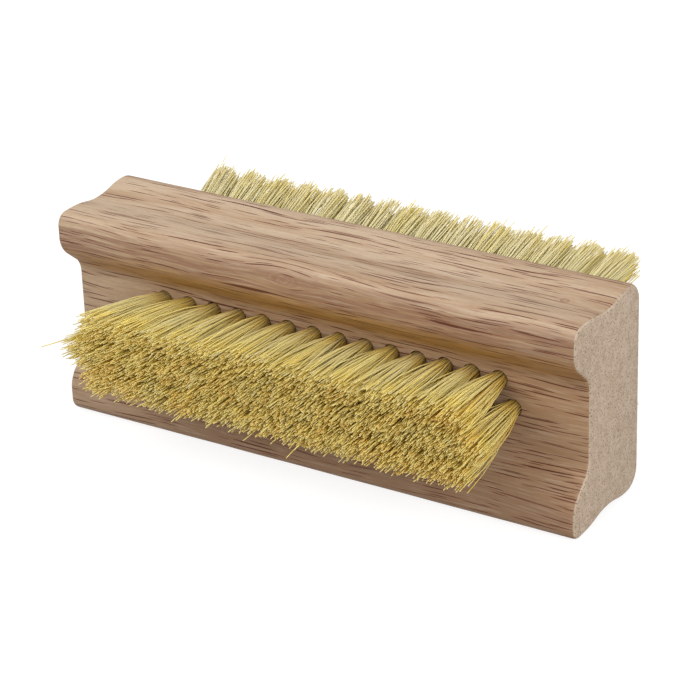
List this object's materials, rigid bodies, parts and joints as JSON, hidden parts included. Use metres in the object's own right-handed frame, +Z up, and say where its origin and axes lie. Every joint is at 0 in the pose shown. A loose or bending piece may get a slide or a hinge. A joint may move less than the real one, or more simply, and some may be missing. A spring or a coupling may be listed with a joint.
{
  "type": "nail brush",
  "caption": "Double-sided wooden nail and hand scrubbing brush: a moulded hardwood block with straw-coloured plant-fibre tufts set in both broad faces, standing on its long edge.",
  "frame": {"origin": "on the ground under the brush, midway along the block and midway between the trimmed tips of the front and the back tufts", "axes": "+X along the block, -Y out of the recessed front face, +Y out of the wider back face, +Z up across the block's height"},
  "size_m": [0.095, 0.049, 0.036],
  "materials": {
    "bare_hardwood": "sanded and unvarnished, fine open pores along the length",
    "plant_fibre": "stiff straw-yellow plant fibre with cut tips"
  },
  "bodies": {
    "root": {"back_tuft_row_1": "plant_fibre", "back_tuft_row_2": "plant_fibre", "back_tuft_row_3": "plant_fibre", "back_tuft_row_4": "plant_fibre", "back_tuft_row_5": "plant_fibre", "front_tuft_r1_01": "plant_fibre", "front_tuft_r1_02": "plant_fibre", "front_tuft_r1_03": "plant_fibre", "front_tuft_r1_04": "plant_fibre", "front_tuft_r1_05": "plant_fibre", "front_tuft_r1_06": "plant_fibre", "front_tuft_r1_07": "plant_fibre", "front_tuft_r1_08": "plant_fibre", "front_tuft_r1_09": "plant_fibre", "front_tuft_r1_10": "plant_fibre", "front_tuft_r1_11": "plant_fibre", "front_tuft_r1_12": "plant_fibre", "front_tuft_r1_13": "plant_fibre", "front_tuft_r1_14": "plant_fibre", "front_tuft_r2_01": "plant_fibre", "front_tuft_r2_02": "plant_fibre", "front_tuft_r2_03": "plant_fibre", "front_tuft_r2_04": "plant_fibre", "front_tuft_r2_05": "plant_fibre", "front_tuft_r2_06": "plant_fibre", "front_tuft_r2_07": "plant_fibre", "front_tuft_r2_08": "plant_fibre", "front_tuft_r2_09": "plant_fibre", "front_tuft_r2_10": "plant_fibre", "front_tuft_r2_11": "plant_fibre", "front_tuft_r2_12": "plant_fibre", "front_tuft_r2_13": "plant_fibre", "front_tuft_r2_14": "plant_fibre", "front_tuft_r2_15": "plant_fibre", "front_tuft_r3_01": "plant_fibre", "front_tuft_r3_02": "plant_fibre", "front_tuft_r3_03": "plant_fibre", "front_tuft_r3_04": "plant_fibre", "front_tuft_r3_05": "plant_fibre", "front_tuft_r3_06": "plant_fibre", "front_tuft_r3_07": "plant_fibre", "front_tuft_r3_08": "plant_fibre", "front_tuft_r3_09": "plant_fibre", "front_tuft_r3_10": "plant_fibre", "front_tuft_r3_11": "plant_fibre", "front_tuft_r3_12": "plant_fibre", "front_tuft_r3_13": "plant_fibre", "front_tuft_r3_14": "plant_fibre", "wood_block": "bare_hardwood"}
  },
  "joints": []
}
